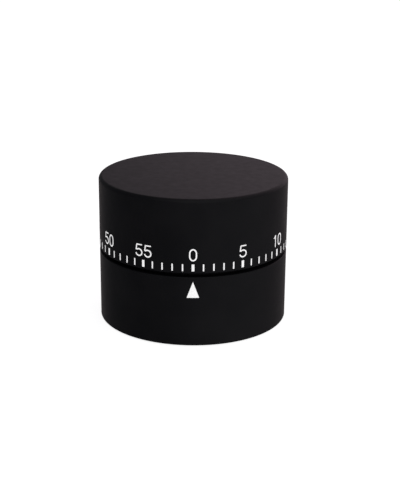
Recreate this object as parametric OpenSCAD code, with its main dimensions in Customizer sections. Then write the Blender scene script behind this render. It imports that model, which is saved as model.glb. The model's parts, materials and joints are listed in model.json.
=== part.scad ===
// Wind-up kitchen timer: a drum in two halves. The upper half is the dial, turned on a fixed
// base that holds a sixty-minute clock movement and a bell.
// Millimetres. +Z is up, the origin is on the table under the drum's axis, and the printed
// pointer faces -Y.

/* [Drum] */
// Outer diameter of both halves
body_d = 65; // [64:1:80]
// Height from the lower rim to the flat top
body_h = 50.1; // [46:0.1:60]
// Height of the fixed lower half
base_h = 24; // [23.4:0.1:29]
// Height of the open seam between the halves
seam_gap = 1.3; // [0.8:0.1:2]
// Wall thickness of the dial cap
cap_wall = 2; // [1.6:0.1:2.4]
// Wall thickness of the base housing
base_wall = 2; // [1.6:0.1:2.2]
// Radius of the rounded top edge
top_round = 1.3; // [0.6:0.1:2.4]
// Radius of the rounded lower rim
rim_round = 0.4; // [0.2:0.1:1.2]
// Radius of the edges on both sides of the seam
seam_round = 0.3; // [0.1:0.05:0.4]

/* [Feet and cover] */
// How far the rubber feet stand below the rim
foot_proud = 0.4; // [0.2:0.1:1]
// Diameter of one rubber foot
foot_d = 6.4; // [5:0.2:7]
// Thickness of the bottom cover
cover_t = 2; // [1.8:0.1:2.4]
// Width of the sound slots
slot_w = 1.6; // [1:0.1:2.4]

/* [Print] */
// Height of the ticks above the dial's lower edge
tick_rise = 0.8; // [0.5:0.1:2]
// Length of a tick
tick_h = 2.35; // [1.5:0.05:4]
// Width of a one-minute tick
minor_w = 0.45; // [0.3:0.05:0.8]
// Width of a five-minute tick
major_w = 0.9; // [0.6:0.05:1.6]
// Gap between the ticks and the numerals
numeral_gap = 1.05; // [0.6:0.05:2]
// Height of the numerals
numeral_h = 4.2; // [3:0.1:5.5]
// Line width of the numerals
numeral_w = 0.44; // [0.4:0.02:0.7]
// Drop from the seam to the pointer's tip
pointer_drop = 1.55; // [1:0.05:3]
// Height of the pointer triangle
pointer_h = 5.5; // [3:0.1:8]
// Width of the pointer triangle
pointer_w = 4.1; // [2:0.1:6]

/* [Movement] */
// Diameter of the main arbor
arbor_d = 4; // [3.6:0.1:4.8]
// Clear height between the two plates
plate_gap = 12; // [12:0.1:12.6]
// Thickness of a plate
plate_t = 1; // [0.8:0.05:1.2]
// Radius of the plates
plate_r = 25.5; // [25:0.1:26.2]
// Teeth of the main wheel
main_teeth = 60; // [56:1:62]
// Leaves of the second and strike pinions
pinion_leaves = 8; // [8:1:9]
// Teeth of the second and third wheels
train_teeth = 56; // [54:1:57]
// Leaves of the third and escape pinions
fine_leaves = 7; // [7:1:8]
// Turns of the mainspring
mainspring_turns = 6; // [4:1:7]

/* [Bell] */
// Outer radius of the bell
bell_r = 24; // [23:0.1:24.4]
// Height of the bell
bell_h = 6.2; // [5:0.1:6.4]

/* [Hidden] */
$fn = 96;
fit = 0.05;
eps = 0.01;
over = 1;
snug = 0.02;
print_t = 0.04;
body_r = body_d / 2;

// levels above the table
rim_z = foot_proud;
base_top = rim_z + base_h;
cap_z = base_top + seam_gap;
top_z = rim_z + body_h;
cover_z = rim_z + 0.8;
cover_top = cover_z + cover_t;

// the deck closes the base; the movement hangs from it
neck_rise = 6;
deck_t = 2;
shoulder_t = 2;
boss_h = 2;
deck_top = base_top + neck_rise;
upper_top = deck_top - deck_t - boss_h;
upper_z = upper_top - plate_t;
floor_z = upper_z - plate_gap;
lower_z = floor_z - plate_t;
neck_r = body_r - cap_wall - 0.5;
neck_t = 1.8;
deck_hole_r = 6;

// the hub of the cap and the arbor in it
cap_under = top_z - 2.2;
hub_z = deck_top + 2.4;
hub_r = arbor_d / 2 + 3;
arbor_top = cap_under - 1;
arbor_r = arbor_d / 2;
flat_x = arbor_r - 0.6;

// levels inside the movement, above the floor plate
spring_h = 1;
spring_tall = 4;
second_h = 5.6;
strike_h = 5.6;
third_h = 1.6;
main_h = 7;
ratchet_h = 8.3;
escape_h = 8.4;
pins_h = 8.2;
lever_h = 9.9;
cam_h = 10;
sheet_t = 0.8;
balance_h = 1.2;
hairspring_h = 3.6;
roller_h = 9;

// wheels: thickness and modules
wheel_t = 0.6;
main_wheel_t = 1;
main_mod = 0.4;
second_mod = 0.3;
third_mod = 0.25;
pressure = 20;
backlash = 0.07;
leaf_margin = 0.5;

// distances between meshing arbors
main_to_second = main_mod * (main_teeth + pinion_leaves) / 2;
second_to_third = second_mod * (train_teeth + fine_leaves) / 2;
third_to_escape = third_mod * (train_teeth + fine_leaves) / 2;

// radii of the shafts and of the pivots they run on
pivot_r = 0.4;
main_pivot_r = 1.2;
second_shaft_r = 0.7;
third_shaft_r = 0.5;
escape_shaft_r = 0.45;
pallet_shaft_r = 0.5;
balance_shaft_r = 0.6;
strike_shaft_r = 0.7;
hammer_shaft_r = 0.8;
end_play = 0.1;

// escapement
escape_teeth = 15;
escape_r = 5;
pin_r = 0.25;
pin_clear = 0.1;
pin_orbit = escape_r + pin_r + pin_clear;
pin_spread = 30;
escape_to_pallet = pin_orbit / cos(pin_spread);
balance_r = 6.2;
pallet_to_balance = 7;
roller_pin_r = 0.25;
roller_orbit = 1.5;

// bell, strike and release
bell_t = 0.8;
bell_bend = 3;
strike_teeth = 20;
strike_r = 4.4;
strike_to_hammer = 6;
hammer_reach = 11.5;
head_r = 2;
cam_r = 9;
cam_notch = 1.5;
click_turn = 62;

// arbor positions: polar radius and angle, stepped round from the second arbor
second_a = 20;
third_rho = 18.5;
escape_rho = 19;
pallet_rho = 19.5;
balance_rho = 18.5;
hammer_rho = 18.5;
strike_a = second_a + 180;
third_a = second_a + step_round(main_to_second, third_rho, second_to_third);
escape_a = third_a + step_round(third_rho, escape_rho, third_to_escape);
pallet_a = escape_a + step_round(escape_rho, pallet_rho, escape_to_pallet);
balance_a = pallet_a + step_round(pallet_rho, balance_rho, pallet_to_balance);
hammer_a = strike_a + step_round(main_to_second, hammer_rho, strike_to_hammer);
second_at = polar(main_to_second, second_a);
third_at = polar(third_rho, third_a);
escape_at = polar(escape_rho, escape_a);
pallet_at = polar(pallet_rho, pallet_a);
balance_at = polar(balance_rho, balance_a);
strike_at = polar(main_to_second, strike_a);
hammer_at = polar(hammer_rho, hammer_a);
lever_a = strike_a + 62;
lever_at = polar(16.5, lever_a);
pillar_rho = 23;
pillar_angles = [second_a - 30, second_a + 124, second_a + 262];
mount_rho = 22.6;
mount_angles = [second_a + 4, second_a + 140, second_a + 232];
cover_rho = body_r - base_wall - 2.6;
cover_angles = [90, 210, 330];
foot_rho = body_r - 11;
foot_angles = [45, 135, 225, 315];

// ---- geometry helpers ----

function polar(r, a) = [r * cos(a), r * sin(a)];

// Angle at the axis between two arbors that stand d apart
function step_round(rho_a, rho_b, d) =
    acos((rho_a * rho_a + rho_b * rho_b - d * d) / (2 * rho_a * rho_b));

// Direction from one arbor to another
function toward(a, b) = atan2(b[1] - a[1], b[0] - a[0]);

// Involute angle, in degrees, at radius r of a wheel with base radius rb
function involute_at(rb, r) = let (a = acos(min(1, rb / r))) tan(a) * 180 / PI - a;

// Half the angle of a tooth at radius r
function half_tooth(n, m, r) =
    let (pitch_r = n * m / 2, rb = pitch_r * cos(pressure))
    90 / n - backlash / 2 / pitch_r * 180 / PI + involute_at(rb, pitch_r)
    - involute_at(rb, max(r, rb));

// Largest tip radius at which a wheel of n teeth still clears the flanks of its mate
function clear_tip(n, mate, m) =
    let (rb = n * m / 2 * cos(pressure), reach = (n + mate) * m / 2 * sin(pressure))
    min(n * m / 2 + m, sqrt(rb * rb + reach * reach) - snug);

// Angle of the mate's teeth that puts a gap where the wheel's teeth cross the line of centres
function mesh_phase(phase, n, mate, dir) = dir + 180 - (phase - dir) * n / mate + 180 / mate;

// Direction of a path at its point i
function heading(pts, i) =
    let (a = pts[max(i - 1, 0)], b = pts[min(i + 1, len(pts) - 1)]) atan2(b[1] - a[1], b[0] - a[0]);

function beside(pts, w) =
    [for (i = [0:len(pts) - 1]) pts[i] + w * [-sin(heading(pts, i)), cos(heading(pts, i))]];

function reversed(pts) = [for (i = [len(pts) - 1:-1:0]) pts[i]];

function arc(at, rx, ry, from, to, steps) =
    [for (i = [0:steps]) let (a = from + (to - from) * i / steps) at + [rx * cos(a), ry * sin(a)]];

// A flat strip of width w along a path
module ribbon(pts, w) {
    polygon(concat(beside(pts, w / 2), reversed(beside(pts, -w / 2))));
}

// The sliver of a square corner outside its quarter circle; the corner is at [r, r]
module corner_waste(r) {
    difference() {
        square(r + eps);
        circle(r);
    }
}

module disc(r, z, t) {
    translate([0, 0, z]) cylinder(r = r, h = t);
}

// The space of a hole through a layer of thickness t, a little longer than the layer
module bore(r, z, t) {
    disc(r, z - over, t + 2 * over);
}

module at_point(p) {
    translate([p[0], p[1], 0]) children();
}

module ring(r_out, r_in, z, t) {
    difference() {
        disc(r_out, z, t);
        bore(r_in, z, t);
    }
}

module at_angles(angles, rho) {
    for (a = angles) rotate(a) translate([rho, 0, 0]) children();
}

// A straight bar between two points, with round ends
module bar(a, b, w, z, t) {
    span = norm(b - a);
    translate([a[0], a[1], z]) rotate(toward(a, b)) {
        translate([0, -w / 2, 0]) cube([span, w, t]);
        cylinder(d = w, h = t);
        translate([span, 0, 0]) cylinder(d = w, h = t);
    }
}

// Screw pointing up from z: a head with a crossed recess, then a plain shank
module screw(head_r, head_t, shank_r, shank_len, z) {
    recess_t = head_t * 0.6;
    difference() {
        disc(head_r, z, head_t);
        for (a = [0, 90]) rotate(a) translate([-head_r * 0.6, -head_r * 0.13, z - eps])
            cube([head_r * 1.2, head_r * 0.26, recess_t]);
    }
    disc(shank_r, z + head_t - eps, shank_len + eps);
}

// Outline of a wheel with involute teeth; a tooth is centred at angle phase
module toothed_outline(n, m, tip_r, phase) {
    pitch_r = n * m / 2;
    root_r = pitch_r - 1.25 * m;
    base_r = max(pitch_r * cos(pressure), root_r + eps);
    radii = [root_r, base_r, (base_r + pitch_r) / 2, pitch_r, (pitch_r + tip_r) / 2, tip_r];
    polygon([for (i = [0:n - 1], side = [-1, 1], k = [0:5])
        let (r = radii[side < 0 ? k : 5 - k], a = phase + i * 360 / n + side * half_tooth(n, m, r))
        polar(r, a)]);
}

// A crossed-out wheel: toothed rim, spokes and a hub with a bore
module spoked_wheel(n, m, mate, phase, hub, hole, spokes, z, t) {
    spoke_w = 1;
    inner_r = n * m / 2 - 1.25 * m - 0.8;
    translate([0, 0, z]) difference() {
        linear_extrude(t) toothed_outline(n, m, clear_tip(n, mate, m), phase);
        difference() {
            bore(inner_r, 0, t);
            disc(hub, -2 * over, t + 4 * over);
            for (a = [0:360 / spokes:359]) rotate(a) translate([0, -spoke_w / 2, -2 * over])
                cube([inner_r + over, spoke_w, t + 4 * over]);
        }
        bore(hole, 0, t);
    }
}

// A pinion cut on its arbor, with a thin pivot in each plate
module pinion(n, m, phase, z, t, shaft_r) {
    translate([0, 0, z]) linear_extrude(t) toothed_outline(n, m, n * m / 2 + 0.8 * m, phase);
    plate_arbor(shaft_r);
}

// An arbor that runs between the plates
module plate_arbor(shaft_r) {
    disc(shaft_r, floor_z + end_play, plate_gap - 2 * end_play);
    disc(pivot_r, lower_z + end_play, plate_gap + 2 * (plate_t - end_play));
}

// ---- drum ----

// Section of the base: a wall, a shoulder at the seam, a neck and a deck
module base_section() {
    difference() {
        union() {
            translate([body_r - base_wall, rim_z]) square([base_wall, base_h]);
            translate([neck_r - neck_t, base_top - shoulder_t])
                square([body_r - neck_r + neck_t, shoulder_t]);
            translate([neck_r - neck_t, base_top - shoulder_t]) square([neck_t, neck_rise + shoulder_t]);
            translate([deck_hole_r, deck_top - deck_t]) square([neck_r - deck_hole_r, deck_t]);
        }
        translate([body_r - seam_round, base_top - seam_round]) corner_waste(seam_round);
        translate([body_r - rim_round, rim_z + rim_round]) mirror([0, 1]) corner_waste(rim_round);
        translate([neck_r - neck_round, deck_top - neck_round]) corner_waste(neck_round);
    }
}

cover_screw_r = 1.1;
cover_head_r = 2;
cover_head_t = 1;
mount_screw_r = 0.9;
mount_head_r = 1.7;
mount_head_t = 0.9;
screw_depth = 5.5;
post_wall_r = 2.6;
post_h = 7;
neck_round = 0.6;

module base_housing() color("#1b1a1c") {
    difference() {
        union() {
            rotate_extrude() base_section();
            // posts for the cover screws, grown out of the wall
            at_angles(cover_angles, cover_rho) {
                disc(post_wall_r, cover_top, post_h);
                translate([0, -post_wall_r, cover_top])
                    cube([post_wall_r + eps, 2 * post_wall_r, post_h]);
            }
            at_angles(mount_angles, mount_rho) disc(post_wall_r, upper_top, boss_h + eps);
        }
        at_angles(cover_angles, cover_rho) disc(cover_screw_r, cover_top - over, screw_depth + over);
        at_angles(mount_angles, mount_rho) bore(mount_screw_r, upper_top, boss_h);
    }
}

slot_rings = [7, 11, 15];
slot_angle = 44;
foot_sunk = 0.5;
foot_round = 0.4;

module bottom_cover() color("#201f21") {
    difference() {
        disc(body_r - base_wall - 0.15, cover_z, cover_t);
        for (slot_r = slot_rings) for (a = [0:60:300])
            rotate(a) translate([0, 0, cover_z - over]) rotate_extrude(angle = slot_angle)
                translate([slot_r - slot_w / 2, 0]) square([slot_w, cover_t + 2 * over]);
        at_angles(cover_angles, cover_rho) {
            bore(cover_screw_r + fit, cover_z, cover_t);
            disc(cover_head_r + 0.2, cover_z - over, over + cover_head_t + 0.1);
        }
        at_angles(foot_angles, foot_rho) disc(foot_d / 2, cover_z - over, over + foot_sunk);
    }
}

module cover_screws() color("#8d9094") {
    at_angles(cover_angles, cover_rho)
        screw(cover_head_r, cover_head_t, cover_screw_r - snug, screw_depth, cover_z + 0.1);
}

// One foot: a disc with a rounded lower edge, seated in its recess
module foot() {
    r = foot_d / 2;
    rotate_extrude() difference() {
        square([r - snug, cover_z + foot_sunk]);
        translate([r - snug - foot_round, foot_round]) mirror([0, 1]) corner_waste(foot_round);
    }
}

module rubber_feet() color("#151515") at_angles(foot_angles, foot_rho) foot();

// Section of the dial cap: a wall and a flat top with a rounded edge
module cap_section() {
    inner_r = body_r - cap_wall;
    inner_round = 1;
    difference() {
        translate([0, cap_z]) square([body_r, top_z - cap_z]);
        difference() {
            translate([-1, cap_z - 1]) square([inner_r + 1, cap_under - cap_z + 1]);
            translate([inner_r - inner_round, cap_under - inner_round]) corner_waste(inner_round);
        }
        translate([body_r - top_round, top_z - top_round]) corner_waste(top_round);
        translate([body_r - seam_round, cap_z + seam_round]) mirror([0, 1]) corner_waste(seam_round);
    }
}

// Cross-section of the D-shaped arbor end, grown by g
module d_shape(g) {
    intersection() {
        circle(arbor_r + g);
        translate([-arbor_r - 1, -arbor_r - 1]) square([arbor_r + 1 + flat_x + g, 2 * arbor_r + 2]);
    }
}

module dial_cap() color("#1b1a1c") {
    rib_t = 1.2;
    rib_h = 4;
    socket_gap = 0.4;
    rotate_extrude() cap_section();
    difference() {
        union() {
            disc(hub_r, hub_z, cap_under - hub_z + eps);
            for (a = [0:60:300]) rotate(a) translate([hub_r - 1, -rib_t / 2, cap_under - rib_h])
                cube([body_r - cap_wall - hub_r + 1 + eps, rib_t, rib_h + eps]);
        }
        translate([0, 0, hub_z - over]) linear_extrude(arbor_top + socket_gap - hub_z + over)
            d_shape(snug);
    }
}

// ---- print ----

// A patch of ink on the outside of the drum, as wide as the angle given
module ink_patch(angle, z, h) {
    rotate(-90 - angle / 2) translate([0, 0, z]) rotate_extrude(angle = angle)
        translate([body_r, 0]) square([print_t, h]);
}

tick_z = cap_z + tick_rise;

module dial_ticks() color("#f2f2f0") {
    for (i = [0:59]) rotate(i * 6)
        ink_patch((i % 5 == 0 ? major_w : minor_w) / body_r * 180 / PI, tick_z, tick_h);
}

// The six numeral shapes, one unit high, standing on y = 0 and centred on x = 0
stroke = numeral_w / numeral_h;
half_w = 0.31;

module numeral_0() {
    a = half_w - stroke / 2;
    b = 0.5 - stroke / 2;
    straight = 0.12;
    top = arc([0, 0.5 + straight], a, b - straight, 0, 180, 12);
    bottom = arc([0, 0.5 - straight], a, b - straight, 180, 360, 12);
    ribbon(top, stroke);
    ribbon(bottom, stroke);
    for (x = [-a, a]) translate([x - stroke / 2, 0.5 - straight - 0.01])
        square([stroke, 2 * straight + snug]);
}

module numeral_1() {
    translate([0.1 - stroke / 2, 0]) square([stroke, 1]);
    ribbon([[-0.15, 0.75], [-0.02, 0.83], [0.07, 0.95]], stroke * 0.9);
}

module numeral_2() {
    a = half_w - stroke / 2;
    bowl = arc([0, 0.71], a, 0.29 - stroke / 2, 172, -38, 14);
    ribbon(concat(bowl, [[-0.02, 0.31], [-0.2, 0.14], [-0.24, 0.06]]), stroke);
    translate([-half_w, 0]) square([2 * half_w, stroke * 0.92]);
}

module numeral_3() {
    a = half_w - stroke / 2 - 0.015;
    ribbon(arc([-0.01, 0.74], a - snug, 0.26 - stroke / 2, 165, -88, 16), stroke);
    ribbon(arc([-0.01, 0.29], a, 0.29 - stroke / 2, 92, -165, 16), stroke);
    translate([-0.1, 0.5]) square([0.12, stroke * 0.8]);
}

module numeral_4() {
    stem_x = 0.13;
    bar_y = 0.24;
    translate([stem_x - stroke / 2, 0]) square([stroke, 1]);
    translate([-half_w - snug, bar_y]) square([2 * half_w + 0.04, stroke * 0.9]);
    ribbon([[-half_w + snug, bar_y + stroke * 0.7], [stem_x, 0.96]], stroke * 0.85);
}

module numeral_5() {
    a = half_w + 0.03 - stroke / 2;
    translate([-0.21, 1 - stroke * 0.92]) square([0.5, stroke * 0.92]);
    ribbon([[-0.19, 0.97], [-0.26, 0.5]], stroke * 0.9);
    ribbon(arc([0, 0.325], a, 0.325 - stroke / 2, 137, -165, 18), stroke);
}

module numeral(digit) {
    if (digit == 0) numeral_0();
    if (digit == 1) numeral_1();
    if (digit == 2) numeral_2();
    if (digit == 3) numeral_3();
    if (digit == 4) numeral_4();
    if (digit == 5) numeral_5();
}

// Wraps flat art, drawn in millimetres, onto the drum's front at height z
module print_on_drum(z) {
    intersection() {
        translate([0, 0, z]) rotate([90, 0, 0]) linear_extrude(body_r + 1) children();
        ring(body_r + print_t, body_r, z - 1, numeral_h + pointer_h + 2);
    }
}

numeral_z = tick_z + tick_h + numeral_gap;
numeral_step = 0.8 * numeral_h;

module dial_numerals() color("#f2f2f0") {
    for (value = [0:5:55]) rotate(value * 6) {
        tens = floor(value / 10);
        units = value % 10;
        shift = value < 10 ? 0 : numeral_step / 2;
        print_on_drum(numeral_z) {
            translate([shift, 0]) scale(numeral_h) numeral(units);
            if (value >= 10) translate([-shift, 0]) scale(numeral_h) numeral(tens);
        }
    }
}

module base_pointer() color("#f2f2f0") {
    print_on_drum(base_top - pointer_drop - pointer_h)
        polygon([[-pointer_w / 2, 0], [pointer_w / 2, 0], [0, pointer_h]]);
}

// ---- plates and frame ----

arbor_places = [second_at, third_at, escape_at, pallet_at, balance_at, strike_at];

// Holes for the pivots of the train
module pivot_holes(z) {
    for (at = arbor_places) at_point(at) bore(pivot_r + fit, z, plate_t);
}

module lower_plate() color("#c9a227") {
    difference() {
        disc(plate_r, lower_z, plate_t);
        pivot_holes(lower_z);
        bore(main_pivot_r + fit, lower_z, plate_t);
        at_point(hammer_at) bore(hammer_shaft_r + fit, lower_z, plate_t);
    }
}

module upper_plate() color("#c9a227") {
    difference() {
        disc(plate_r, upper_z, plate_t);
        pivot_holes(upper_z);
        bore(arbor_r + fit, upper_z, plate_t);
        at_point(hammer_at) bore(pivot_r + fit, upper_z, plate_t);
        at_angles(pillar_angles, pillar_rho) bore(pillar_screw_r + fit, upper_z, plate_t);
        at_angles(mount_angles, mount_rho) bore(mount_screw_r, upper_z, plate_t);
        // the stop tab is cut from the plate and bent down through this window
        rotate(stop_a + tab_half_a) translate([tab_in, -tab_slot - 0.5, upper_z - over])
            cube([tab_len, tab_slot, plate_t + 2 * over]);
    }
    rotate(stop_a + tab_half_a) translate([tab_in, -tab_t / 2, upper_z - tab_drop])
        cube([tab_len, tab_t, tab_drop + eps]);
}

pillar_screw_r = 0.8;
pillar_r = 1.4;
pillar_screw_depth = 4;
pillar_head_t = 0.8;

module plate_pillars() color("#b8bcc0") {
    at_angles(pillar_angles, pillar_rho) difference() {
        disc(pillar_r, floor_z, plate_gap);
        disc(pillar_screw_r, upper_z - pillar_screw_depth, pillar_screw_depth + over);
    }
}

module pillar_screws() color("#8d9094") {
    at_angles(pillar_angles, pillar_rho) translate([0, 0, upper_top]) mirror([0, 0, 1])
        screw(1.5, pillar_head_t, pillar_screw_r - snug, plate_t + pillar_screw_depth - 1,
            -pillar_head_t);
}

module movement_screws() color("#8d9094") {
    at_angles(mount_angles, mount_rho)
        screw(mount_head_r, mount_head_t, mount_screw_r - snug, plate_t + boss_h - 0.1,
            upper_z - mount_head_t);
}

// ---- main arbor, wheel and spring ----

module main_arbor() color("#b8bcc0") {
    disc(main_pivot_r, lower_z + end_play, plate_t);
    disc(arbor_r, floor_z + end_play, hub_z - floor_z);
    translate([0, 0, hub_z]) linear_extrude(arbor_top - hub_z) d_shape(0);
}

module arbor_clip() color("#8d9094") {
    clip_r = arbor_r + 1.6;
    clip_t = 0.6;
    mouth = 1.6;
    difference() {
        ring(clip_r, arbor_r + snug, upper_top + end_play, clip_t);
        translate([0, -mouth / 2, upper_top]) cube([clip_r + over, mouth, 2 * clip_t]);
    }
}

ratchet_teeth = 24;
ratchet_r = 6;

// Saw-toothed wheel: each tooth rises slowly and drops along a radius
module saw_outline(n, tip_r, depth, phase) {
    polygon([for (i = [0:n - 1], k = [0, 1])
        polar(k == 0 ? tip_r : tip_r - depth, phase + (i + snug * k) * 360 / n)]);
}

module ratchet_wheel() color("#b8bcc0") {
    translate([0, 0, floor_z + ratchet_h]) linear_extrude(sheet_t) difference() {
        saw_outline(ratchet_teeth, ratchet_r, 0.8, 0);
        circle(arbor_r + snug);
    }
}

stop_a = 120;
tab_half_a = 3;
tab_in = 7.6;
tab_len = 1.3;
tab_t = 0.32;
tab_drop = 0.7;
tab_slot = 1;
notch_w = 3.2;
notch_a = lever_a - 33;

module release_cam() color("#b8bcc0") {
    z = floor_z + cam_h;
    difference() {
        disc(cam_r, z, sheet_t);
        bore(arbor_r + snug, z, sheet_t);
        // the notch lets the release lever drop when the time is up
        rotate(notch_a) translate([cam_r - cam_notch, -notch_w / 2, z - over])
            cube([cam_notch + over, notch_w, sheet_t + 2 * over]);
    }
    rotate(stop_a) translate([tab_in, -tab_t / 2, z + sheet_t - eps])
        cube([tab_len, tab_t, tab_drop + 0.2]);
}

main_phase = 0;

module main_wheel() color("#c9a227") {
    spoked_wheel(main_teeth, main_mod, pinion_leaves, main_phase, arbor_r + 2.2, arbor_r + fit, 5,
        floor_z + main_h, main_wheel_t);
}

click_rho = 8.6;
click_at = polar(click_rho, click_turn);
click_z = floor_z + ratchet_h;
main_wheel_top = floor_z + main_h + main_wheel_t;
rivet_r = 0.5;
click_spring_r = 9.6;

// The click turns on a rivet and its beak rests in a ratchet tooth
module click() color("#b8bcc0") {
    beak = polar(ratchet_r + 0.35, click_turn + 36);
    difference() {
        union() {
            bar(click_at, beak, 0.6, click_z, sheet_t);
            at_point(click_at) disc(1, click_z, sheet_t);
        }
        at_point(click_at) bore(rivet_r + fit, click_z, sheet_t);
    }
}

module click_rivet() color("#8d9094") {
    at_point(click_at) {
        disc(rivet_r, main_wheel_top, click_z + sheet_t + 0.1 - main_wheel_top);
        disc(0.9, click_z + sheet_t + snug, 0.3);
    }
}

module click_spring() color("#b8bcc0") {
    foot_turn = click_turn + 70;
    translate([0, 0, click_z]) linear_extrude(sheet_t - 0.2)
        ribbon(arc([0, 0], click_spring_r, click_spring_r, click_turn + 12, foot_turn, 12), 0.25);
    rotate(foot_turn) translate([click_spring_r, 0, 0]) disc(0.5, main_wheel_top, sheet_t);
}

// Points of a flat spiral
function spiral(r_in, r_out, turns, steps) =
    [for (i = [0:steps]) polar(r_in + (r_out - r_in) * i / steps, turns * 360 * i / steps)];

post_rho = 12.4;
post_r = 0.8;

module mainspring() color("#6f7680") {
    leaf_t = 0.3;
    r_out = post_rho - post_r - leaf_t / 2;
    steps = mainspring_turns * 24;
    translate([0, 0, floor_z + spring_h]) rotate(post_a) linear_extrude(spring_tall)
        ribbon(spiral(arbor_r + leaf_t / 2 + snug, r_out, mainspring_turns, steps), leaf_t);
}

post_a = second_a + 115;

module spring_post() color("#b8bcc0") {
    rotate(post_a) translate([post_rho, 0, 0]) disc(post_r, floor_z, spring_h + spring_tall + 0.6);
}

// ---- going train ----

second_phase = mesh_phase(main_phase, main_teeth, pinion_leaves, second_a);
third_dir = toward(second_at, third_at);
third_phase = mesh_phase(0, train_teeth, fine_leaves, third_dir);
escape_dir = toward(third_at, escape_at);
escape_phase = mesh_phase(0, train_teeth, fine_leaves, escape_dir);

module second_pinion() color("#b8bcc0") {
    at_point(second_at)
        pinion(pinion_leaves, main_mod, second_phase, floor_z + main_h - leaf_margin,
            main_wheel_t + 2 * leaf_margin, second_shaft_r);
}

module second_wheel() color("#c9a227") {
    at_point(second_at)
        spoked_wheel(train_teeth, second_mod, fine_leaves, 0, 1.8, second_shaft_r + snug, 4,
            floor_z + second_h, wheel_t);
}

module third_pinion() color("#b8bcc0") {
    at_point(third_at)
        pinion(fine_leaves, second_mod, third_phase, floor_z + second_h - leaf_margin,
            wheel_t + 2 * leaf_margin, third_shaft_r);
}

module third_wheel() color("#c9a227") {
    at_point(third_at)
        spoked_wheel(train_teeth, third_mod, fine_leaves, 0, 1.5, third_shaft_r + snug, 4,
            floor_z + third_h, wheel_t);
}

module escape_pinion() color("#b8bcc0") {
    at_point(escape_at)
        pinion(fine_leaves, third_mod, escape_phase, floor_z + third_h - leaf_margin,
            wheel_t + 2 * leaf_margin, escape_shaft_r);
}

// ---- escapement ----

pallet_dir = toward(escape_at, pallet_at);
balance_dir = toward(pallet_at, balance_at);
tooth_depth = 1.4;
pallet_t = 0.7;

// A tooth stands 6 degrees from one pin and, mirrored, 6 degrees from the other
module escape_wheel() color("#c9a227") {
    tip_half = 1.6;
    root_half = 5;
    first = pallet_dir + pin_spread + 360 / escape_teeth / 4;
    translate([escape_at[0], escape_at[1], floor_z + escape_h]) difference() {
        linear_extrude(wheel_t) difference() {
            polygon([for (i = [0:escape_teeth - 1], k = [0:3])
                let (a = first + i * 360 / escape_teeth)
                k == 0 ? polar(escape_r - tooth_depth, a - root_half)
                : k == 1 ? polar(escape_r, a - tip_half)
                : k == 2 ? polar(escape_r, a + tip_half)
                : polar(escape_r - tooth_depth, a + root_half)]);
            circle(escape_shaft_r + snug);
        }
        for (a = [45:90:315]) rotate(a) translate([2.1, 0, 0]) bore(0.7, 0, wheel_t);
    }
}

module pallet_arbor() color("#b8bcc0") {
    at_point(pallet_at) plate_arbor(pallet_shaft_r);
}

// Places of the two pins, where the lever's arms stand square to the escape wheel's radii
pin_places = [for (s = [-1, 1]) escape_at + polar(pin_orbit, pallet_dir + s * pin_spread)];

module pallet_lever() color("#b8bcc0") {
    z = floor_z + lever_h;
    fork_tip = pallet_at + polar(4.6, balance_dir);
    difference() {
        union() {
            for (at = pin_places) bar(pallet_at, at, 0.9, z, pallet_t);
            bar(pallet_at, fork_tip, 0.8, z, pallet_t);
            at_point(pallet_at) disc(1.1, z, pallet_t);
            // horns of the fork, hollowed round the balance staff
            translate([fork_tip[0], fork_tip[1], z]) rotate(balance_dir) translate([-0.2, -1.4, 0])
                cube([1.2, 2.8, pallet_t]);
        }
        at_point(balance_at) bore(roller_orbit + roller_pin_r + pin_clear, z, pallet_t);
        at_point(pallet_at) bore(pallet_shaft_r + snug, z, pallet_t);
        for (at = pin_places) at_point(at) bore(pin_r + snug, z, pallet_t);
    }
}

module pallet_pins() color("#8d9094") {
    for (at = pin_places) at_point(at)
        disc(pin_r, floor_z + pins_h, lever_h + pallet_t - pins_h);
}

module balance_staff() color("#b8bcc0") {
    at_point(balance_at) plate_arbor(balance_shaft_r);
}

module balance_wheel() color("#c9a227") {
    z = floor_z + balance_h;
    rim = 1.2;
    arm_w = 1;
    arm_t = 0.8;
    at_point(balance_at) {
        ring(balance_r, balance_r - rim, z, rim);
        difference() {
            union() {
                disc(1.6, z, rim);
                for (a = [0:120:240]) rotate(a) translate([0, -arm_w / 2, z + (rim - arm_t) / 2])
                    cube([balance_r - rim + 0.3, arm_w, arm_t]);
            }
            bore(balance_shaft_r + snug, z, rim);
        }
    }
}

// Small disc on the staff; its upright pin is what the fork drives
module impulse_roller() color("#b8bcc0") {
    z = floor_z + roller_h;
    toward_fork = balance_dir + 180;
    roller_t = 0.6;
    at_point(balance_at) {
        ring(2, balance_shaft_r + snug, z, roller_t);
        rotate(toward_fork) translate([roller_orbit, 0, 0])
            disc(roller_pin_r, z + roller_t - eps, 1.1);
    }
}

module hairspring() color("#6f7680") {
    turns = 5;
    leaf_t = 0.12;
    leaf_h = 0.6;
    translate([balance_at[0], balance_at[1], floor_z + hairspring_h]) rotate(stud_a)
        linear_extrude(leaf_h)
        ribbon(spiral(balance_shaft_r + 0.1, hairspring_r, turns, turns * 24), leaf_t);
}

hairspring_r = 4;
stud_r = 0.4;
stud_a = balance_a + 180;
stud_at = balance_at + polar(hairspring_r + stud_r + 0.06, stud_a);

module hairspring_stud() color("#c9a227") {
    at_point(stud_at)
        disc(stud_r, floor_z + hairspring_h - 0.2, plate_gap - hairspring_h + 0.2);
}

// ---- strike ----

strike_phase = mesh_phase(main_phase, main_teeth, pinion_leaves, strike_a);
hammer_dir = toward(hammer_at, strike_at);

module strike_pinion() color("#b8bcc0") {
    at_point(strike_at)
        pinion(pinion_leaves, main_mod, strike_phase, floor_z + main_h - leaf_margin,
            main_wheel_t + 2 * leaf_margin, strike_shaft_r);
}

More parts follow.
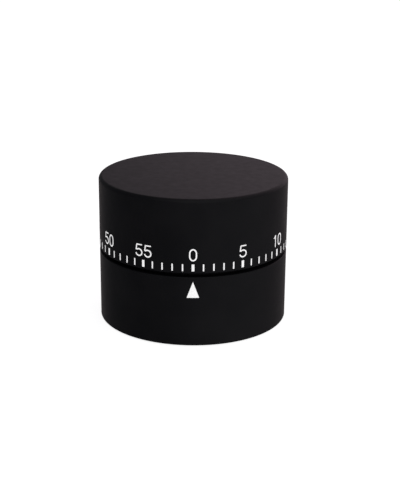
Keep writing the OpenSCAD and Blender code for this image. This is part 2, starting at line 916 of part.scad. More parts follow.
module strike_wheel() color("#b8bcc0") {
    translate([strike_at[0], strike_at[1], floor_z + strike_h]) linear_extrude(sheet_t) difference() {
        saw_outline(strike_teeth, strike_r, 0.9, 0);
        circle(strike_shaft_r + snug);
    }
}

// Runs through the lower plate to carry the hammer inside the bell
module hammer_arbor() color("#b8bcc0") {
    at_point(hammer_at) {
        disc(hammer_shaft_r, lower_z - shaft_drop, upper_z - end_play - lower_z + shaft_drop);
        disc(pivot_r, upper_z - over, over + plate_t - end_play);
    }
}

// Flat arm whose tip the strike wheel's teeth kick
module hammer_verge() color("#b8bcc0") {
    tip = hammer_at + polar(strike_to_hammer - strike_r - 0.45, hammer_dir);
    z = floor_z + strike_h;
    difference() {
        union() {
            bar(hammer_at, tip, 0.6, z, sheet_t);
            at_point(hammer_at) disc(1.5, z, sheet_t);
        }
        at_point(hammer_at) bore(hammer_shaft_r + snug, z, sheet_t);
    }
}

shaft_drop = 3;
arm_t = 1;
arm_z = lower_z - shaft_drop + 0.4;
head_h = 3;
head_clear = 1.2;
spigot_r = 0.7;
head_rho = bell_r - bell_t - head_r - head_clear;
head_a = hammer_a + step_round(hammer_rho, head_rho, hammer_reach);
head_at = polar(head_rho, head_a);

module hammer_arm() color("#8d9094") {
    difference() {
        union() {
            bar(hammer_at, head_at, 1.6, arm_z, arm_t);
            at_point(hammer_at) disc(1.8, arm_z, arm_t);
        }
        at_point(hammer_at) bore(hammer_shaft_r + snug, arm_z, arm_t);
        at_point(head_at) bore(spigot_r + snug, arm_z, arm_t);
    }
}

// Turned striker, held in the arm by its spigot
module hammer_head() color("#8d9094") {
    at_point(head_at) {
        disc(head_r, arm_z - head_h, head_h);
        disc(spigot_r, arm_z - eps, arm_t + eps);
    }
}

// Arm on the hammer arbor that the release lever's tail holds back
module hammer_catch() color("#b8bcc0") {
    z = floor_z + cam_h;
    difference() {
        union() {
            bar(hammer_at, hammer_at + polar(catch_reach, catch_dir), 0.7, z, sheet_t);
            at_point(hammer_at) disc(1.3, z, sheet_t);
        }
        at_point(hammer_at) bore(hammer_shaft_r + snug, z, sheet_t);
    }
}

catch_reach = 2.6;
catch_dir = toward(hammer_at, lever_at) + 60;
wire_r = 0.2;
wire_coils = 4;
wire_step = 0.7;
leg_len = 6.4;
leg_dir = hammer_dir + 165;
coil_r = hammer_shaft_r + 0.5;

// Wire coils round the hammer arbor, with one leg out to a pin
module hammer_spring() color("#6f7680") {
    z = floor_z + 1;
    translate([hammer_at[0], hammer_at[1], z]) {
        for (k = [0:wire_coils - 1]) translate([0, 0, k * wire_step]) rotate_extrude()
            translate([coil_r, 0]) circle(wire_r, $fn = 24);
        for (k = [0:wire_coils - 2]) rotate(120 * k) translate([coil_r, 0, k * wire_step])
            cylinder(r = wire_r, h = wire_step, $fn = 24);
        rotate(leg_dir) translate([0, coil_r, 0]) rotate([0, 90, 0])
            cylinder(r = wire_r, h = leg_len, $fn = 24);
    }
}

// ---- bell ----

bell_top = lower_z - 1;
bell_z = bell_top - bell_h;

module bell_half(r, bend, z, h) {
    difference() {
        translate([0, z]) square([r, h]);
        translate([r - bend, z + bend]) mirror([0, 1]) corner_waste(bend);
    }
}

module bell() color("#c4c8cc") {
    rotate_extrude() difference() {
        bell_half(bell_r, bell_bend, bell_z, bell_h);
        bell_half(bell_r - bell_t, bell_bend - bell_t, bell_z + bell_t, bell_h);
        translate([-over, bell_z - over])
            square([over + bell_screw_r + 0.1, bell_t + 2 * over]);
    }
}

bell_screw_r = 1;
bell_screw_depth = 3;
bell_head_t = 1;

module bell_post() color("#b8bcc0") {
    z = bell_z + bell_t;
    difference() {
        disc(2.4, z, lower_z - z);
        disc(bell_screw_r, z - over, over + bell_screw_depth);
    }
}

module bell_screw() color("#8d9094") {
    screw(2, bell_head_t, bell_screw_r - snug, bell_t + bell_screw_depth - 0.4,
        bell_z - bell_head_t);
}

// ---- release ----

lever_z = floor_z + cam_h;
nose_at = polar(cam_r + 0.55, notch_a);
lever_bar_w = 0.9;
lever_pivot_r = 0.6;
flange_drop = 0.6;
tail_at = hammer_at + polar(3.1, toward(hammer_at, lever_at));

// Rides on the cam; when its nose drops into the notch the tail lets go of the hammer's catch
module release_lever() color("#b8bcc0") {
    difference() {
        union() {
            bar(lever_at, nose_at, lever_bar_w, lever_z, sheet_t);
            bar(lever_at, tail_at, lever_bar_w, lever_z, sheet_t);
            at_point(lever_at) disc(1.4, lever_z, sheet_t);
        }
        at_point(lever_at) bore(lever_pivot_r + fit, lever_z, sheet_t);
    }
}

module lever_pivot() color("#8d9094") {
    at_point(lever_at) {
        disc(lever_pivot_r, lever_z - flange_drop, upper_z - lever_z + flange_drop);
        disc(1.1, lever_z - flange_drop, flange_drop - end_play);
    }
}

pin_r_fixed = 0.5;
leaf_w = 0.2;
leaf_reach = 5;
nose_dir = toward(lever_at, nose_at);
leaf_pin_at = lever_at + polar(4.2, nose_dir - 75);

// Leaf that presses the lever's nose arm towards the cam
module lever_spring() color("#6f7680") {
    start = leaf_pin_at + polar(pin_r_fixed + leaf_w / 2, nose_dir + 90);
    finish = lever_at + polar(leaf_reach, nose_dir) + polar(lever_bar_w / 2 + leaf_w, nose_dir - 90);
    middle = (start + finish) / 2 + polar(0.6, nose_dir - 90);
    translate([0, 0, lever_z + 0.1]) linear_extrude(0.5) ribbon([start, middle, finish], leaf_w);
}

// Fixed pins that the hammer spring and the lever spring push against
module spring_pins() color("#8d9094") {
    leg_end = hammer_at + polar(leg_len - 0.8, leg_dir)
        + polar(coil_r + wire_r + pin_r_fixed, leg_dir + 90);
    at_point(leg_end) disc(pin_r_fixed, floor_z, 3);
    at_point(leaf_pin_at) disc(pin_r_fixed, lever_z - 0.4, upper_z - lever_z + 0.4);
}

// ---- nodes ----

base_housing();
bottom_cover();
cover_screws();
rubber_feet();
base_pointer();
dial_cap();
dial_ticks();
dial_numerals();
main_arbor();
arbor_clip();
ratchet_wheel();
release_cam();
main_wheel();
click();
click_rivet();
click_spring();
lower_plate();
upper_plate();
plate_pillars();
pillar_screws();
movement_screws();
mainspring();
spring_post();
second_pinion();
second_wheel();
third_pinion();
third_wheel();
escape_pinion();
escape_wheel();
pallet_arbor();
pallet_lever();
pallet_pins();
balance_staff();
balance_wheel();
impulse_roller();
hairspring();
hairspring_stud();
strike_pinion();
strike_wheel();
hammer_arbor();
hammer_verge();
hammer_catch();
hammer_arm();
hammer_head();
hammer_spring();
bell();
bell_post();
bell_screw();
release_lever();
lever_pivot();
lever_spring();
spring_pins();
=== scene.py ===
"""Looks of the wind-up kitchen timer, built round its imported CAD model.

Mesh code works in millimetres and pieces are scaled to metres at the end. +Z is up, the drum's
axis is the Z axis and the pointer faces -Y.
"""

import json
import math

import bmesh
import bpy
from mathutils import Matrix, Vector


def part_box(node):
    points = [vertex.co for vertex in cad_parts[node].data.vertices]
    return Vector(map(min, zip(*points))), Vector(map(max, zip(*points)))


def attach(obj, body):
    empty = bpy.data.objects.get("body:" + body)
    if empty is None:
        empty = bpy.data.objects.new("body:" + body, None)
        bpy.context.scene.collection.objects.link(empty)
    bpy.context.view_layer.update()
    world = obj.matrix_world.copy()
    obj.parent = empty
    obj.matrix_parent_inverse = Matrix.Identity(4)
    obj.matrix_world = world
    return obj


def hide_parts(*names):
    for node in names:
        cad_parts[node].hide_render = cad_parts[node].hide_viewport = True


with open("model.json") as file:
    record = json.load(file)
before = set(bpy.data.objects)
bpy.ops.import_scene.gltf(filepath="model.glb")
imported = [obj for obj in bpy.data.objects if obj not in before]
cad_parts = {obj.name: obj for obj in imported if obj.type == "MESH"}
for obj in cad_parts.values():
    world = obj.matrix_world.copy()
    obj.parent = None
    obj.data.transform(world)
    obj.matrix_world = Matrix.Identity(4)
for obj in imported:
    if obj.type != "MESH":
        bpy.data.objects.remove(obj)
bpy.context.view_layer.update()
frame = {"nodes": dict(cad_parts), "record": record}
nodes = frame["nodes"]

MM = 0.001
TURN = 2 * math.pi


def span(node):
    """Lowest and highest corner of a CAD node, in millimetres."""
    low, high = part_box(node)
    return Vector(low) / MM, Vector(high) / MM


def middle(node):
    """Centre of a CAD node in plan, in millimetres."""
    return plan_centre(*span(node))


def solids(node):
    """Boxes of a CAD node's separate solids, in millimetres."""
    bm = bmesh.new()
    bm.from_mesh(nodes[node].data)
    bmesh.ops.remove_doubles(bm, verts=bm.verts, dist=1e-6)
    left = set(bm.verts)
    while left:
        island = []
        waiting = [left.pop()]
        while waiting:
            vert = waiting.pop()
            island.append(vert.co / MM)
            for edge in vert.link_edges:
                other = edge.other_vert(vert)
                if other in left:
                    left.remove(other)
                    waiting.append(other)
        low = Vector(min(co[axis] for co in island) for axis in range(3))
        high = Vector(max(co[axis] for co in island) for axis in range(3))
        yield low, high
    bm.free()


def plan_centre(low, high):
    return ((low.x + high.x) / 2, (low.y + high.y) / 2)


def polar(radius, angle, at=(0, 0)):
    """A place at a radius and an angle, in radians, from another."""
    return (at[0] + radius * math.cos(angle), at[1] + radius * math.sin(angle))


def turned(angle, at):
    """A place turned about the drum's axis; the angle is in degrees."""
    return polar(math.hypot(*at), math.atan2(at[1], at[0]) + math.radians(angle))


# ---- mesh tools ----


def new_piece(name, bm, body, material, stands_for=(), sharp=35):
    """Turns a bmesh into a piece that rides on a body and takes a material."""
    bmesh.ops.scale(bm, vec=(MM, MM, MM), verts=bm.verts)
    bmesh.ops.recalc_face_normals(bm, faces=bm.faces)
    mesh = bpy.data.meshes.new(name)
    bm.to_mesh(mesh)
    bm.free()
    mesh.polygons.foreach_set("use_smooth", [True] * len(mesh.polygons))
    mesh.set_sharp_from_angle(angle=math.radians(sharp))
    mesh.materials.append(material)
    piece = bpy.data.objects.new(name, mesh)
    bpy.context.collection.objects.link(piece)
    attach(piece, body)
    if stands_for:
        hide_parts(*stands_for)
    return piece


def rounded(corners, steps=8, support=0.06):
    """Profile of (radius, height) points from corners given with a rounding each. Rounded
    corners get a support point on each side, which keeps the shading of flats flat."""
    profile = []
    for i, (r, z, rounding) in enumerate(corners):
        here = Vector((r, z))
        if rounding == 0:
            profile.append(here)
            continue
        back = (Vector(corners[i - 1][:2]) - here).normalized()
        ahead = (Vector(corners[(i + 1) % len(corners)][:2]) - here).normalized()
        half = back.angle(ahead) / 2
        reach = rounding / math.tan(half)
        centre = here + (back + ahead).normalized() * rounding / math.sin(half)
        first = here + back * reach - centre
        last = here + ahead * reach - centre
        sweep = math.copysign(math.pi - 2 * half, first.x * last.y - first.y * last.x)
        profile.append(here + back * (reach + support))
        for step in range(steps + 1):
            profile.append(centre + Matrix.Rotation(sweep * step / steps, 2) @ first)
        profile.append(here + ahead * (reach + support))
    return profile


def loop(radius, z, at=(0, 0), segments=96):
    """Ring of points at a height; the radius is a number or a function of the angle."""
    points = []
    for i in range(segments):
        a = TURN * i / segments
        r = radius(a) if callable(radius) else radius
        points.append((at[0] + r * math.cos(a), at[1] + r * math.sin(a), z))
    return points


def loft(bm, loops, endless=False):
    """Skins a row of loops. The ends are closed with fans, or joined if it is endless."""
    rings = [[bm.verts.new(point) for point in points] for points in loops]
    pairs = list(zip(rings, rings[1:]))
    if endless:
        pairs.append((rings[-1], rings[0]))
    for low, high in pairs:
        for i in range(len(low)):
            bm.faces.new((low[i - 1], low[i], high[i], high[i - 1]))
    if endless:
        return
    for ring in (rings[0], rings[-1]):
        hub = bm.verts.new(sum((vert.co for vert in ring), Vector()) / len(ring))
        for i in range(len(ring)):
            bm.faces.new((ring[i - 1], ring[i], hub))


def lathe(bm, profile, at=(0, 0), segments=96, endless=True):
    """Turns a profile of (radius, height) points about an upright axis."""
    loft(bm, [loop(r, z, at, segments) for r, z in profile], endless)


def strip(bm, path, thickness, low, high):
    """Flat leaf on edge along a path of (x, y) points, from one height to another."""
    loops = []
    for i, here in enumerate(path):
        along = Vector(path[min(i + 1, len(path) - 1)]) - Vector(path[max(i - 1, 0)])
        side = Vector((-along.y, along.x)).normalized() * thickness / 2
        inner, outer = Vector(here) - side, Vector(here) + side
        loops.append([(*inner, low), (*outer, low), (*outer, high), (*inner, high)])
    loft(bm, loops)


def wire(bm, path, radius, sides=16):
    """Round wire along a path of points in space."""
    loops = []
    for i, here in enumerate(path):
        along = (Vector(path[min(i + 1, len(path) - 1)]) - Vector(path[max(i - 1, 0)])).normalized()
        side = along.cross(Vector((0, 0, 1))).normalized()
        up = side.cross(along)
        ring = []
        for k in range(sides):
            a = TURN * k / sides
            ring.append(Vector(here) + radius * (math.cos(a) * side + math.sin(a) * up))
        loops.append(ring)
    loft(bm, loops)


# ---- materials ----


class Shader:
    """A node material under construction, with its Principled shader."""

    def __init__(self, name):
        self.material = bpy.data.materials.new(name)
        self.material.use_nodes = True
        self.tree = self.material.node_tree
        self.shader = self.tree.nodes["Principled BSDF"]
        self.place = self.add("ShaderNodeTexCoord").outputs["Object"]

    def add(self, kind, **values):
        node = self.tree.nodes.new(kind)
        for key, value in values.items():
            node.inputs[key].default_value = value
        return node

    def link(self, source, target):
        self.tree.links.new(source, target)

    def noise(self, scale, detail=2.0, roughness=0.5, stretch=(1, 1, 1)):
        """Noise over the piece; scale is in features per metre."""
        mapping = self.add("ShaderNodeMapping", Scale=stretch)
        self.link(self.place, mapping.inputs["Vector"])
        noise = self.add("ShaderNodeTexNoise", Scale=scale, Detail=detail, Roughness=roughness)
        self.link(mapping.outputs["Vector"], noise.inputs["Vector"])
        return noise.outputs["Fac"]

    def ramp(self, source, dark, light, start=0.3, end=0.7):
        """Maps a value to a blend of two colours."""
        ramp = self.add("ShaderNodeValToRGB")
        for element, position, colour in zip(ramp.color_ramp.elements, (start, end), (dark, light)):
            element.position = position
            element.color = (*colour, 1)
        self.link(source, ramp.inputs["Fac"])
        return ramp.outputs["Color"]

    def spread(self, source, low, high):
        """Maps 0..1 to low..high."""
        mapped = self.add("ShaderNodeMapRange")
        mapped.inputs["To Min"].default_value = low
        mapped.inputs["To Max"].default_value = high
        self.link(source, mapped.inputs["Value"])
        return mapped.outputs["Result"]

    def bump(self, source, depth, strength):
        """Surface relief; depth is in metres."""
        bump = self.add("ShaderNodeBump", Strength=strength, Distance=depth)
        self.link(source, bump.inputs["Height"])
        self.link(bump.outputs["Normal"], self.shader.inputs["Normal"])

    def set(self, **values):
        for key, value in values.items():
            self.shader.inputs[key.replace("_", " ")].default_value = value

    def colour(self, source):
        self.link(source, self.shader.inputs["Base Color"])

    def rough(self, source):
        self.link(source, self.shader.inputs["Roughness"])


def soft_plastic(name, dark, light, low_rough, high_rough, gloss):
    """Matte moulded plastic: faint cloudy tone, fine spark-eroded grain."""
    s = Shader(name)
    s.colour(s.ramp(s.noise(90, 4), dark, light))
    s.rough(s.spread(s.noise(400, 3), low_rough, high_rough))
    s.bump(s.noise(5200, 3, 0.6), 0.00001, 0.35)
    s.set(Specular_IOR_Level=gloss)
    return s.material


def ink(name):
    """Screen-printed white ink, slightly uneven, with a faint painted glow that makes it brighter than
    the lamps alone would.
    """
    s = Shader(name)
    s.colour(s.ramp(s.noise(1500, 3), (0.80, 0.80, 0.79), (0.90, 0.90, 0.89), 0.25, 0.75))
    # Painted glow: the ink gives off a faint light of its own, so the white marks stay bright where the
    # lamps fall off.
    s.set(Emission_Color=(1, 1, 1, 1), Emission_Strength=0.22)
    s.rough(s.spread(s.noise(2500, 2), 0.5, 0.65))
    s.bump(s.noise(7000, 2), 0.000004, 0.4)
    return s.material


def metal(name, dark, light, low_rough, high_rough, grain, stretch):
    """Metal with a fine directional finish."""
    s = Shader(name)
    s.set(Metallic=1.0)
    s.colour(s.ramp(s.noise(300, 4), dark, light))
    lines = s.noise(grain, 3, 0.6, stretch)
    s.rough(s.spread(lines, low_rough, high_rough))
    s.bump(lines, 0.000003, 0.5)
    return s.material


def soft_rubber(name):
    """Black rubber with a dusty bloom."""
    s = Shader(name)
    s.colour(s.ramp(s.noise(500, 4), (0.012, 0.012, 0.012), (0.026, 0.025, 0.025)))
    s.rough(s.spread(s.noise(1200, 3), 0.75, 0.95))
    s.bump(s.noise(4000, 4, 0.7), 0.00002, 0.5)
    return s.material


BLACK = soft_plastic("dial_plastic", (0.0026, 0.0026, 0.0033), (0.0044, 0.0042, 0.0050), 0.38, 0.50, 0.12)
COVER = soft_plastic("cover_plastic", (0.005, 0.005, 0.0055), (0.009, 0.009, 0.0095), 0.55, 0.68, 0.2)
# The printed marks' ink, with a painted glow.
INK_WITH_PAINTED_GLOW = ink("white_ink_with_painted_glow")
BRASS = metal("brass_look", (0.55, 0.36, 0.11), (0.74, 0.52, 0.20), 0.22, 0.40, 900, (1, 14, 1))
STEEL = metal("steel_look", (0.42, 0.43, 0.44), (0.58, 0.59, 0.60), 0.22, 0.38, 1100, (1, 1, 9))
BLUED = metal("blued_steel_look", (0.06, 0.08, 0.14), (0.12, 0.15, 0.22), 0.20, 0.35, 900, (1, 1, 10))
BELL = metal("bell_look", (0.60, 0.60, 0.61), (0.72, 0.72, 0.73), 0.08, 0.16, 500, (1, 1, 12))
RUBBER = soft_rubber("rubber_look")

LOOKS = {
    "black_plastic": BLACK,
    "cover_plastic": COVER,
    "rubber": RUBBER,
    "white_print": INK_WITH_PAINTED_GLOW,
    "brass": BRASS,
    "steel": STEEL,
    "spring_steel": BLUED,
    "bell_steel": BELL,
}
for part in frame["record"]["subparts"]:
    for socket in nodes[part["node"]].material_slots:
        socket.material = LOOKS[part["material_slot"]]


# ---- drum ----

# Sides of the drum and the bell
FINE = 256
# Rounding of the sharp moulded edges
BREAK = 0.12
TOP_ROUND = 1.3
RIM_ROUND = 0.4
SEAM_ROUND = 0.3
CAP_WALL = 2.0
TOP_T = 2.2
BASE_WALL = 2.0
NECK_RISE = 6.0
NECK_T = 1.8
DECK_T = 2.0
SHOULDER_T = 2.0
DECK_HOLE_R = 6.0
NECK_GAP = 0.5
NECK_ROUND = 0.6
INSIDE_ROUND = 0.5
CAP_INSIDE_ROUND = 1.0
RIBS = 6
ARBOR_FLAT = 0.6
HUB_WALL = 3
HUB_GAP = 2.4
COVER_POSTS = (90, 210, 330)
COVER_HOLE_R = 1.1
COVER_HOLE_DEPTH = 5.5
POST_R = 2.6
POST_H = 7.0
BOSS_H = 2.0
BOSS_HOLE_R = 0.9
BOSS_HOLE_RISE = 1
# How far one shape reaches into the next where two are moulded as one
SUNK = 0.5

base_low, base_high = span("base_housing")
cap_low, cap_high = span("dial_cap")
cover_top = span("bottom_cover")[1].z
arbor_high = span("main_arbor")[1]
DRUM_R = cap_high.x
BASE_TOP = base_high.z - NECK_RISE
CAP_UNDER = cap_high.z - TOP_T
ARBOR_R = arbor_high.x
HUB_R = ARBOR_R + HUB_WALL
HUB_Z = base_high.z + HUB_GAP


def flat_sided(radius, flat):
    """Radius of a D-shaped hole by angle; the flat faces +X."""

    def at(angle):
        along = math.cos(angle)
        return min(radius, flat / along) if along > 0 else radius

    return at


def make_hub(bm):
    """Hub under the cap with the D-shaped socket for the main arbor."""
    slack = 0.02
    chamfer = 0.25
    socket_gap = 0.4
    foot = 0.8
    flat = ARBOR_R - ARBOR_FLAT
    socket = flat_sided(ARBOR_R + slack, flat + slack)
    flared = flat_sided(ARBOR_R + chamfer, flat + chamfer)
    loft(bm, [
        loop(socket, arbor_high.z + socket_gap),
        loop(socket, HUB_Z + chamfer),
        loop(flared, HUB_Z),
        loop(HUB_R - chamfer, HUB_Z),
        loop(HUB_R, HUB_Z + chamfer),
        loop(HUB_R, CAP_UNDER - foot),
        loop(HUB_R + foot, CAP_UNDER + BREAK),
    ])


def make_rib(bm, angle):
    """Drafted rib from the hub to the wall of the cap."""
    bottom = CAP_UNDER - 4.0
    edge = 0.15
    inner = HUB_R - SUNK
    outer = DRUM_R - CAP_WALL + SUNK
    loops = []
    for z, half in ((bottom, 0.4), (bottom + edge, 0.5), (CAP_UNDER + BREAK, 0.7)):
        corners = ((inner, -half), (outer, -half), (outer, half), (inner, half))
        loops.append([(*turned(angle, corner), z) for corner in corners])
    loft(bm, loops)


def make_dial_shell():
    """The cap: one turned skin with a flat top, a hub and ribs inside."""
    bm = bmesh.new()
    inner = DRUM_R - CAP_WALL
    flat_r = 0.6 * inner
    corners = [
        (flat_r, CAP_UNDER, 0),
        (inner, CAP_UNDER, CAP_INSIDE_ROUND),
        (inner, cap_low.z, BREAK),
        (DRUM_R, cap_low.z, SEAM_ROUND),
        (DRUM_R, cap_high.z, TOP_ROUND),
        (flat_r, cap_high.z, 0),
    ]
    lathe(bm, rounded(corners), segments=FINE, endless=False)
    make_hub(bm)
    for i in range(RIBS):
        make_rib(bm, 360 / RIBS * i)
    new_piece("dial_shell", bm, "dial", BLACK, ["dial_cap"])


def blind_tube(bm, at, outer, hole, mouth, floor, root):
    """Tube open at its mouth, with a blind hole; root is the height where it joins its wall."""
    edge = math.copysign(BREAK, root - mouth)
    loft(bm, [
        loop(hole, floor, at),
        loop(hole, mouth + edge, at),
        loop(hole + BREAK, mouth, at),
        loop(outer - BREAK, mouth, at),
        loop(outer, mouth + edge, at),
        loop(outer, root, at),
    ])


def make_cover_post(bm, angle):
    """Screw post that stands on the bottom cover, with a web back to the wall of the base."""
    inner = DRUM_R - BASE_WALL
    axis = inner - POST_R
    wall = inner + SUNK
    top = cover_top + POST_H
    blind_tube(
        bm, turned(angle, (axis, 0)), POST_R, COVER_HOLE_R, cover_top, cover_top + COVER_HOLE_DEPTH, top
    )
    web = []
    for z in (cover_top + BREAK, top - BREAK):
        corners = ((axis, -POST_R), (wall, -POST_R), (wall, POST_R), (axis, POST_R))
        web.append([(*turned(angle, corner), z) for corner in corners])
    loft(bm, web)


def make_base_shell():
    """The base: a wall, a shoulder at the seam, a neck and a deck, with its posts and bosses."""
    bm = bmesh.new()
    inner = DRUM_R - BASE_WALL
    neck = DRUM_R - CAP_WALL - NECK_GAP
    deck_under = base_high.z - DECK_T
    shoulder_under = BASE_TOP - SHOULDER_T
    corners = [
        (DRUM_R, base_low.z, RIM_ROUND),
        (DRUM_R, BASE_TOP, SEAM_ROUND),
        (neck, BASE_TOP, BREAK),
        (neck, base_high.z, NECK_ROUND),
        (DECK_HOLE_R, base_high.z, BREAK),
        (DECK_HOLE_R, deck_under, BREAK),
        (neck - NECK_T, deck_under, INSIDE_ROUND),
        (neck - NECK_T, shoulder_under, BREAK),
        (inner, shoulder_under, INSIDE_ROUND),
        (inner, base_low.z, BREAK),
    ]
    lathe(bm, rounded(corners), segments=FINE)
    for angle in COVER_POSTS:
        make_cover_post(bm, angle)
    mouth = deck_under - BOSS_H
    for low, high in solids("movement_screws"):
        at = plan_centre(low, high)
        blind_tube(
            bm, at, POST_R, BOSS_HOLE_R, mouth, deck_under + BOSS_HOLE_RISE, deck_under + BREAK
        )
    new_piece("base_shell", bm, "timer_base", BLACK, ["base_housing"])


# ---- feet and screws ----


def make_feet():
    """Moulded rubber pads with a ring groove in the tread."""
    bm = bmesh.new()
    groove = 0.18
    groove_round = 0.08
    rim = 0.4
    for low, high in solids("rubber_feet"):
        r = (high.x - low.x) / 2
        corners = [
            (0.50 * r, low.z, 0),
            (0.55 * r, low.z, groove_round),
            (0.60 * r, low.z + groove, groove_round),
            (0.68 * r, low.z + groove, groove_round),
            (0.73 * r, low.z, groove_round),
            (r, low.z, rim),
            (r, high.z, BREAK),
            (0.50 * r, high.z, 0),
        ]
        profile = rounded(corners, steps=6, support=0.02)
        lathe(bm, profile, plan_centre(low, high), endless=False)
    new_piece("foot_pads", bm, "timer_base", RUBBER, ["rubber_feet"])


def crossed(length, half_width):
    """Radius of a crossed recess by angle."""

    def at(angle):
        off = (angle + TURN / 8) % (TURN / 4) - TURN / 8
        return min(length / math.cos(off), half_width / max(abs(math.sin(off)), half_width / TURN))

    return at


def threaded(radius, depth, pitch, z):
    """Radius of a screw thread by angle, at one height."""

    def at(angle):
        phase = (z / pitch - angle / TURN) % 1
        return radius - depth * abs(2 * phase - 1)

    return at


def make_screw(bm, at, head_z, tip_z, head_r, head_t, shank_r):
    """Pan-head screw with a crossed recess, from its head to its tip."""
    way = math.copysign(1, tip_z - head_z)
    pitch = 0.5
    depth = 0.16
    steps_per_turn = 8
    recess = head_t * 0.6
    crown = head_t * 0.45
    slot = crossed(0.62 * head_r, 0.15 * head_r)
    narrow = crossed(0.5 * head_r, 0.09 * head_r)
    loops = [loop(narrow, head_z + way * recess, at), loop(slot, head_z + way * 0.05, at)]
    loops.append(loop(0.7 * head_r, head_z, at))
    for step in range(7):
        a = math.radians(90 - 15 * step)
        r = head_r - crown + crown * math.cos(a)
        loops.append(loop(r, head_z + way * crown * (1 - math.sin(a)), at))
    neck = head_z + way * head_t
    loops.append(loop(head_r, neck, at))
    loops.append(loop(shank_r - depth, neck, at))
    run = abs(tip_z - neck)
    count = int(run / pitch * steps_per_turn)
    for step in range(1, count):
        z = neck + way * run * step / count
        taper = min(1, (count - step) / steps_per_turn)
        loops.append(loop(threaded(shank_r * (0.6 + 0.4 * taper), depth * taper, pitch, z), z, at))
    loops.append(loop(0.5 * shank_r, tip_z, at))
    loft(bm, loops)


def make_screws(name, node, head_t, shank_r, pointing):
    """Detailed screws in place of a node's plain ones; pointing is 1 for up and -1 for down."""
    bm = bmesh.new()
    for low, high in solids(node):
        ends = (low.z, high.z)[::pointing]
        make_screw(bm, plan_centre(low, high), *ends, (high.x - low.x) / 2, head_t, shank_r)
    new_piece(name, bm, "timer_base", STEEL, [node], sharp=50)


# ---- bell and springs ----


def make_bell():
    """Dish with its closed side down, a bent edge and a hole for its screw."""
    bm = bmesh.new()
    low, high = span("bell")
    wall = 0.8
    bend = 3.0
    hole = 1.1
    corners = [
        (hole, low.z, BREAK),
        (high.x, low.z, bend),
        (high.x, high.z, 0.35),
        (high.x - wall, high.z, 0.35),
        (high.x - wall, low.z + wall, bend - wall),
        (hole, low.z + wall, BREAK),
    ]
    lathe(bm, rounded(corners, 12), segments=FINE)
    new_piece("bell_dish", bm, "timer_base", BELL, ["bell"])


def spiral(centre, inner, outer, turns, end_angle, per_turn=72):
    """Flat spiral path that opens anticlockwise and ends at an angle, in radians."""
    count = turns * per_turn
    path = []
    for i in range(count + 1):
        share = i / count
        path.append(polar(inner + (outer - inner) * share, end_angle + TURN * turns * share, centre))
    return path


def make_mainspring():
    """Coiled strip from the arbor out to its post, with an eye round the post."""
    bm = bmesh.new()
    low, high = span("mainspring")
    post_low, post_high = span("spring_post")
    post = middle("spring_post")
    leaf = 0.3
    post_r = (post_high.x - post_low.x) / 2
    heading = math.atan2(post[1], post[0])
    eye = post_r + leaf / 2
    path = spiral((0, 0), ARBOR_R + leaf / 2 + 0.02, math.hypot(*post) - eye, 6, heading)
    for step in range(1, 28):
        path.append(polar(eye, heading + math.pi - math.radians(10 * step), post))
    strip(bm, path, leaf, low.z, high.z)
    new_piece("mainspring_coil", bm, "timer_base", BLUED, ["mainspring"])


def make_hairspring():
    """Fine spiral strip from the balance staff out to its stud."""
    bm = bmesh.new()
    low, high = span("hairspring")
    staff = middle("balance_staff")
    stud = middle("hairspring_stud")
    heading = math.atan2(stud[1] - staff[1], stud[0] - staff[0])
    strip(bm, spiral(staff, 0.7, 4.0, 5, heading), 0.12, low.z, high.z)
    new_piece("balance_spring", bm, "timer_base", BLUED, ["hairspring"])


def make_hammer_spring():
    """Coil of wire round the hammer's arbor, with a long leg that presses on a fixed pin."""
    bm = bmesh.new()
    low, high = span("hammer_spring")
    arbor_at = middle("hammer_arbor")
    pin = min(solids("spring_pins"), key=lambda box: box[0].z)
    pin_at = plan_centre(*pin)
    pin_r = (pin[1].x - pin[0].x) / 2
    wire_r = 0.2
    coil_r = 1.3
    leg = 6.4
    contact = leg - 0.8
    turns = 3.6
    sideways = math.atan2(coil_r + wire_r + pin_r, contact)
    heading = math.atan2(pin_at[1] - arbor_at[1], pin_at[0] - arbor_at[0]) - sideways
    start = heading + TURN / 4
    first = polar(coil_r, start, arbor_at)
    path = []
    for step in range(9):
        path.append((*polar(leg * (1 - step / 9), heading, first), low.z + wire_r))
    count = 160
    for i in range(count + 1):
        angle = start + TURN * turns * i / count
        z = low.z + wire_r + (high.z - low.z - 2 * wire_r) * i / count
        path.append((*polar(coil_r, angle, arbor_at), z))
    tail = start + TURN * turns
    last = polar(coil_r, tail, arbor_at)
    for step in range(1, 4):
        path.append((*polar(0.4 * step, tail + TURN / 4, last), high.z - wire_r))
    wire(bm, path, wire_r)
    new_piece("hammer_spring_coil", bm, "timer_base", BLUED, ["hammer_spring"])


# ---- stage ----

FLOOR_SIZE = 8.0


def make_floor():
    """A plain white floor that glows, so that it shows no shadow."""
    s = Shader("floor_look")
    s.colour(s.ramp(s.noise(3, 2), (0.40, 0.40, 0.40), (0.42, 0.42, 0.42)))
    s.set(Roughness=0.9, Emission_Color=(1, 1, 1, 1), Emission_Strength=0.88, Specular_IOR_Level=0.1)
    bm = bmesh.new()
    bmesh.ops.create_grid(bm, x_segments=2, y_segments=2, size=FLOOR_SIZE / 2)
    mesh = bpy.data.meshes.new("floor")
    bm.to_mesh(mesh)
    bm.free()
    mesh.materials.append(s.material)
    floor = bpy.data.objects.new("floor", mesh)
    bpy.context.collection.objects.link(floor)
    floor.visible_glossy = False


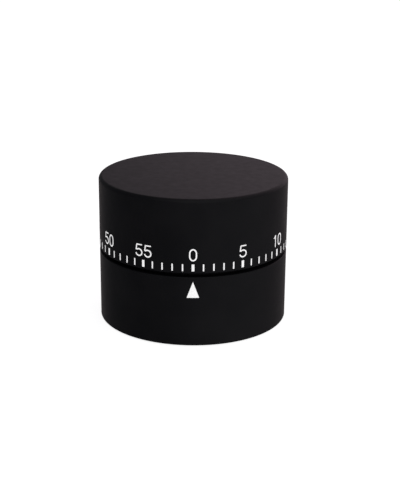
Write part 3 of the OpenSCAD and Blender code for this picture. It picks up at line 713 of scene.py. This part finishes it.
def make_world(low_front, low_side, low_back, high_front, high_back):
    """A studio room, as radiances by direction; a pair is left and right. The floor is left out
    of reflections, so the drum's sides mirror the low ones and its top mirrors the high back."""
    world = bpy.data.worlds.new("studio")
    world.use_nodes = True
    tree = world.node_tree
    direction = tree.nodes.new("ShaderNodeTexCoord")
    split = tree.nodes.new("ShaderNodeSeparateXYZ")
    tree.links.new(direction.outputs["Generated"], split.inputs["Vector"])

    def blend(axis, first, second, start, end):
        """Mixes two colours, or the outputs of two blends, along one axis of the direction."""
        mix = tree.nodes.new("ShaderNodeMixRGB")
        ease = tree.nodes.new("ShaderNodeMapRange")
        ease.interpolation_type = "SMOOTHSTEP"
        ease.inputs["From Min"].default_value = start
        ease.inputs["From Max"].default_value = end
        tree.links.new(split.outputs[axis], ease.inputs["Value"])
        tree.links.new(ease.outputs["Result"], mix.inputs["Fac"])
        for value, socket in ((first, mix.inputs["Color1"]), (second, mix.inputs["Color2"])):
            if isinstance(value, tuple):
                socket.default_value = (*value, 1)
            else:
                tree.links.new(value, socket)
        return mix.outputs["Color"]

    front = blend("X", *low_front, -1, 1)
    side = blend("X", *low_side, -1, 1)
    low = blend("Y", blend("Y", front, side, -0.4, 0.5), low_back, 0.65, 1)
    high = blend("Y", high_front, blend("X", *high_back, -0.25, 0.25), -0.4, 0.6)
    colour = blend("Z", low, high, -0.2, 0.15)
    tree.links.new(colour, tree.nodes["Background"].inputs["Color"])
    bpy.context.scene.world = world


def aim(thing, place, target):
    """Stands a lamp at a place, turned towards a target."""
    thing.location = place
    thing.rotation_mode = "QUATERNION"
    thing.rotation_quaternion = (Vector(target) - Vector(place)).to_track_quat("-Z", "Y")


def sun(name, direction, strength, width):
    """Light from a direction; its width, in degrees, softens the shadows."""
    light = bpy.data.lights.new(name, "SUN")
    light.energy = strength
    light.angle = math.radians(width)
    lamp = bpy.data.objects.new(name, light)
    bpy.context.collection.objects.link(lamp)
    aim(lamp, direction, (0, 0, 0))


# The camera, solved from the photograph: it looks down by LOOK_DOWN from DISTANCE at the middle
# of the drum, aims a little off it and is rolled by less than half a degree.
LOOK_DOWN = math.radians(18.23)
DISTANCE = 0.4116
AIM_RIGHT = 0.00585
AIM_UP = -0.00578
ROLL = 0.00713
LENS = 84.71
SENSOR = 36
MIDDLE = Vector((0, 0, 0.0254))


def make_camera():
    """The photograph's viewpoint; lengths are in metres."""
    back = Vector((0, -math.cos(LOOK_DOWN), math.sin(LOOK_DOWN)))
    right = Vector((1, 0, 0))
    up = back.cross(right)
    forward = (-back + AIM_RIGHT * right + AIM_UP * up).normalized()
    right = forward.cross(Vector((0, 0, 1))).normalized()
    up = right.cross(forward)
    c, s = math.cos(ROLL), math.sin(ROLL)
    rolled_right = c * right + s * up
    rolled_up = c * up - s * right
    data = bpy.data.cameras.new("camera")
    data.lens = LENS
    data.sensor_width = SENSOR
    data.clip_start = 0.01
    camera = bpy.data.objects.new("camera", data)
    turn = Matrix((rolled_right, rolled_up, -forward)).transposed()
    camera.matrix_world = Matrix.Translation(MIDDLE + back * DISTANCE) @ turn.to_4x4()
    bpy.context.collection.objects.link(camera)
    bpy.context.scene.camera = camera


make_dial_shell()
make_base_shell()
make_feet()
make_screws("cover_fasteners", "cover_screws", 1.0, 1.08, 1)
make_screws("movement_fasteners", "movement_screws", 0.9, 0.88, 1)
make_screws("pillar_fasteners", "pillar_screws", 0.8, 0.78, -1)
make_screws("bell_fastener", "bell_screw", 1.0, 0.98, 1)
make_bell()
make_mainspring()
make_hairspring()
make_hammer_spring()

make_floor()
make_world(
    low_front=((0.10, 0.105, 0.11), (0.60, 0.60, 0.62)),
    low_side=((0.145, 0.14, 0.145), (0.22, 0.20, 0.205)),
    low_back=(0.41, 0.365, 0.37),
    high_front=(0.15, 0.15, 0.17),
    high_back=((0.14, 0.14, 0.15), (0.78, 0.64, 0.71)),
)
sun("key", (0.35, -0.9, 1.0), 1.1, 90)
make_camera()
bpy.context.scene.view_settings.view_transform = "Standard"
